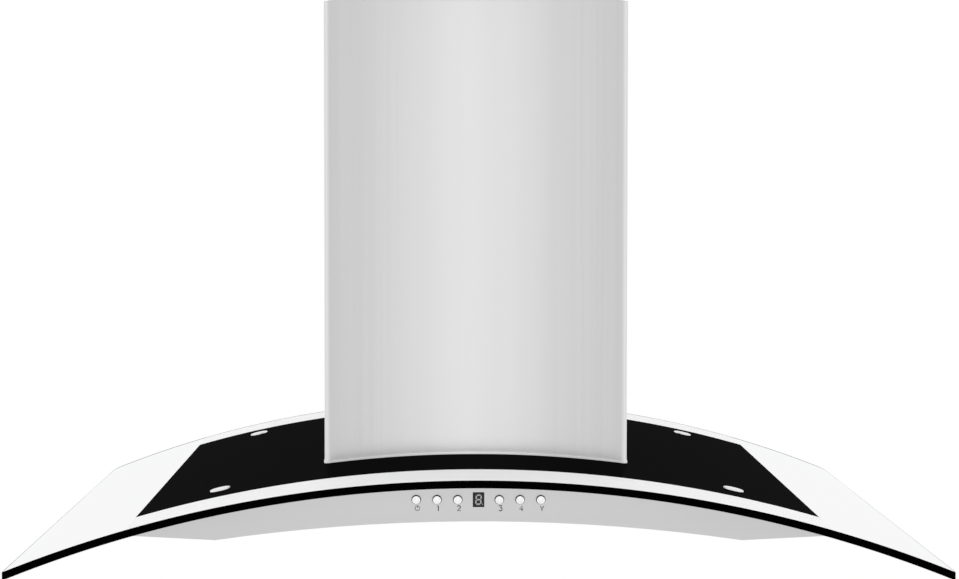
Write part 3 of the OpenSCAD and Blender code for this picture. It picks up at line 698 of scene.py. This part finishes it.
def build_marks():
    """Printed marks under the buttons: a ring with a stroke, the speeds 1 to 4 and a lamp."""
    height = 5.2 * MM
    thin, bold = 0.55 * MM, 0.85 * MM
    bm = bmesh.new()
    for name, step in BUTTONS.items():
        centre_x = step * BUTTON_PITCH + MARK_SHIFT
        stroke = thin if name == "power_button" else bold
        for path in mark_paths(name):
            points = [(centre_x + x * height, MARK_Z + z * height) for x, z in path]
            ribbon(bm, points, stroke, PANEL_Y - PRINT_LIFT)
    finish_piece("button_marks", bm, [MARK_INK], "hood")


def build_display():
    """Smoked window in the panel's opening, with one seven-segment digit."""
    edge_r = 0.35 * MM
    low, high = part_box("display_window")
    window = bmesh.new()
    bmesh.ops.create_cube(window, size=1.0)
    for vert in window.verts:
        vert.co = [low[k] + (vert.co[k] + 0.5) * (high[k] - low[k]) for k in range(3)]
    edges = window.edges[:]
    bmesh.ops.bevel(window, geom=edges, offset=edge_r, segments=3, profile=0.5, affect="EDGES")
    looks = [SLOT_LOOKS["display"]]
    finish_piece("display_face", window, looks, "hood", ["display_window"])
    build_digit(low.y - PRINT_LIFT)


def build_digit(y):
    """The digit 8 with its point, as leaning bars."""
    half_w, half_h, lean = 2.3 * MM, 4.3 * MM, 0.07
    thick = 1.25 * MM
    short = 0.55 * MM
    dot_gap, dot_w = 1.5 * MM, 0.9 * MM
    digit = bmesh.new()

    def bar(x0, z0, x1, z1):
        points = [(x0 + lean * z0, BUTTON_Z + z0), (x1 + lean * z1, BUTTON_Z + z1)]
        ribbon(digit, points, thick, y)

    for z in (-half_h, 0, half_h):
        bar(-half_w + short, z, half_w - short, z)
    for x in (-half_w, half_w):
        bar(x, short, x, half_h - short)
        bar(x, -half_h + short, x, -short)
    dot_x, dot_z = half_w + dot_gap, BUTTON_Z - half_h
    dot = [(dot_x - dot_w / 2, dot_z), (dot_x + dot_w / 2, dot_z)]
    ribbon(digit, dot, dot_w, y)
    finish_piece("display_digit", digit, [DIGIT_GREY], "hood")


# ---- Lamps --------------------------------------------------------------------------

def on_keel(x, y):
    """Local frame on the arched underside, square to it."""
    tilt = Matrix.Rotation(math.asin(x / KEEL_R), 4, "Y")
    centre = Matrix.Translation((0, y, CROWN - KEEL_DROP - KEEL_R))
    return centre @ tilt @ Matrix.Translation((0, 0, KEEL_R))


def lamp_can_profile():
    """Can with a rolled trim ring. Height 0 is the underside's face, and up is into the hood."""
    can_r, can_h, can_bevel = 28.8 * MM, 14 * MM, 0.6 * MM
    flange_r, flange_z = 34 * MM, -0.5 * MM
    outer_roll, inner_roll = 0.7 * MM, 0.6 * MM
    outer_centre = (33.2 * MM, -1.2 * MM)
    inner_centre = (25.8 * MM, -1.3 * MM)
    mouth_r, seat_r, seat_z = 25.2 * MM, 22 * MM, 0.5 * MM
    roof = 11 * MM
    profile = [(0, can_h), (can_r - can_bevel, can_h), (can_r, can_h - can_bevel)]
    profile += [(can_r, flange_z), (flange_r - outer_roll / 2, flange_z)]
    profile += arc(outer_centre, outer_roll, 45, -90, 5)
    profile += arc(inner_centre, inner_roll, -90, -180, 4)
    profile += [(mouth_r, seat_z), (seat_r, seat_z), (seat_r, roof), (0, roof)]
    return profile


def lamp_lens_profile():
    """Lens with concentric ribs pressed into its lower face."""
    lens_r, lens_z, bevel = 25 * MM, 0.5 * MM, 0.2 * MM
    rim_z, face_z = -1 * MM, -1.35 * MM
    ribs, rib_r, rib_pitch, rib_h = 12, 24.6 * MM, 2 * MM, 0.5 * MM
    profile = [(0, lens_z), (lens_r - bevel, lens_z), (lens_r, lens_z - bevel), (lens_r, rim_z)]
    for k in range(ribs):
        outer = rib_r - k * rib_pitch
        profile += [(outer, face_z), (outer - rib_pitch / 2, face_z + rib_h)]
    return profile + [(rib_r - ribs * rib_pitch - bevel, face_z), (0, face_z)]


def build_lamps():
    """Four lamp cans in the underside, and their lenses."""
    turns = 96
    lenses = bmesh.new()
    for name, (sx, sy) in LAMPS.items():
        place = on_keel(sx * LAMP_X, sy * LAMP_Y)
        trim = bmesh.new()
        lathe(trim, lamp_can_profile(), place, segments=turns)
        lathe(lenses, lamp_lens_profile(), place, segments=turns)
        finish_piece(name + "_trim", trim, [CAP_STEEL], "hood", [name], sharp=40.0)
    looks = [SLOT_LOOKS["lamp_lens"]]
    finish_piece("lamp_lens_discs", lenses, looks, "hood", ["lamp_lenses"], sharp=50.0)


# ---- CAD nodes that stay ------------------------------------------------------------

SOFT_EDGED = (
    "filter_frame_left", "filter_frame_right", "filter_latch_left", "filter_latch_right",
    "ceiling_plate", "junction_box", "lamp_driver",
)


def soften_edges():
    """Small rounds on the sharp edges of plain formed parts."""
    for name in SOFT_EDGED:
        rounds = frame["nodes"][name].modifiers.new("rounds", "BEVEL")
        rounds.width = 0.3 * MM
        rounds.segments = 2
        rounds.limit_method = "ANGLE"
        rounds.angle_limit = math.radians(50)


def paint_cad_nodes():
    """Gives every CAD node the look of its material slot, or its own look."""
    own_looks = {"glass_gasket": GASKET_GREY, "top_plate": TOP_STEEL}
    for row in frame["record"]["subparts"]:
        node = frame["nodes"][row["node"]]
        look = own_looks.get(row["node"], SLOT_LOOKS[row["material_slot"]])
        node.data.materials.clear()
        node.data.materials.append(look)


# ---- Stage --------------------------------------------------------------------------

def build_floor():
    """Large pale floor with slightly uneven plaster, far below the hood."""
    size, cuts, level = 12.0, 24, -5.0
    bm = bmesh.new()
    bmesh.ops.create_grid(bm, x_segments=cuts, y_segments=cuts, size=size / 2)
    for vert in bm.verts:
        vert.co.z = level
    mesh = bpy.data.meshes.new("floor")
    bm.to_mesh(mesh)
    bm.free()
    mesh.materials.append(painted("floor_white", grey(0.88), grey(0.89), 0.9, grain=30))
    floor = bpy.data.objects.new("floor", mesh)
    bpy.context.scene.collection.objects.link(floor)


def soft_light(name, place, aim, width, height, power):
    """Large rectangular lamp that faces a point."""
    data = bpy.data.lights.new(name, "AREA")
    data.shape = "RECTANGLE"
    data.size, data.size_y = width, height
    data.energy = power
    lamp = bpy.data.objects.new(name, data)
    lamp.location = place
    lamp.rotation_euler = (Vector(aim) - Vector(place)).to_track_quat("-Z", "Y").to_euler()
    bpy.context.scene.collection.objects.link(lamp)


def build_surroundings():
    """White surroundings, seen plain by the camera and a little brighter at the sides by
    everything else."""
    side_from, side_to = 0.3, 0.8
    front_level, side_level = 1.1, 1.3
    world = bpy.data.worlds.new("studio")
    world.use_nodes = True
    background = world.node_tree.nodes["Background"]
    background.inputs["Color"].default_value = (1, 1, 1, 1)
    coords = add_node(world, "ShaderNodeTexCoord")
    axes = add_node(world, "ShaderNodeSeparateXYZ")
    link(world, coords.outputs["Generated"], axes.inputs["Vector"])
    sideways = add_node(world, "ShaderNodeMath", operation="ABSOLUTE")
    link(world, axes.outputs["X"], sideways.inputs[0])
    level = add_node(world, "ShaderNodeMapRange")
    level.inputs["From Min"].default_value = side_from
    level.inputs["From Max"].default_value = side_to
    level.inputs["To Min"].default_value = front_level
    level.inputs["To Max"].default_value = side_level
    link(world, sideways.outputs[0], level.inputs["Value"])
    rays = add_node(world, "ShaderNodeLightPath")
    seen = add_node(world, "ShaderNodeMath", operation="MAXIMUM")
    link(world, rays.outputs["Is Camera Ray"], seen.inputs[0])
    link(world, rays.outputs["Is Transmission Ray"], seen.inputs[1])
    strength = add_node(world, "ShaderNodeMix", data_type="FLOAT")
    strength.inputs["B"].default_value = 1.0
    link(world, seen.outputs[0], strength.inputs["Factor"])
    link(world, level.outputs["Result"], strength.inputs["A"])
    link(world, strength.outputs["Result"], background.inputs["Strength"])
    bpy.context.scene.world = world
    bpy.context.scene.view_settings.view_transform = "Standard"


def build_lights():
    """A narrow tall lamp in front, and two broad ones at the sides."""
    front_x, side_x = 0.05, 3.2
    front_place, front_aim = (front_x, -3.6, 0.1), (front_x, 0, CROWN)
    soft_light("front_light", front_place, front_aim, width=0.3, height=2.6, power=1.45)
    for side in SIDES:
        place = (side * side_x, -0.6, 0.2)
        soft_light("side_light", place, (0, 0, CROWN), width=2.0, height=2.4, power=2.0)


def build_camera():
    """Camera almost straight in front, a little above the glass."""
    distance, height, sideways = 2.1683, 0.2909, -0.0343
    tilt_down = 2.163
    data = bpy.data.cameras.new("camera")
    data.sensor_width = 36
    data.lens = 74.06
    data.shift_x = 0.0387
    data.shift_y = -0.0462
    camera = bpy.data.objects.new("camera", data)
    camera.location = (sideways, -distance, CROWN + height)
    camera.rotation_euler = (math.radians(90 - tilt_down), 0, 0)
    bpy.context.scene.collection.objects.link(camera)
    bpy.context.scene.camera = camera


# ---- Assembly -----------------------------------------------------------------------

paint_cad_nodes()
build_glass()
build_print()
build_caps()
build_lower_cover()
for button_name, button_step in BUTTONS.items():
    build_button(button_name, button_step)
build_marks()
build_display()
build_lamps()
soften_edges()
build_floor()
build_surroundings()
build_lights()
build_camera()
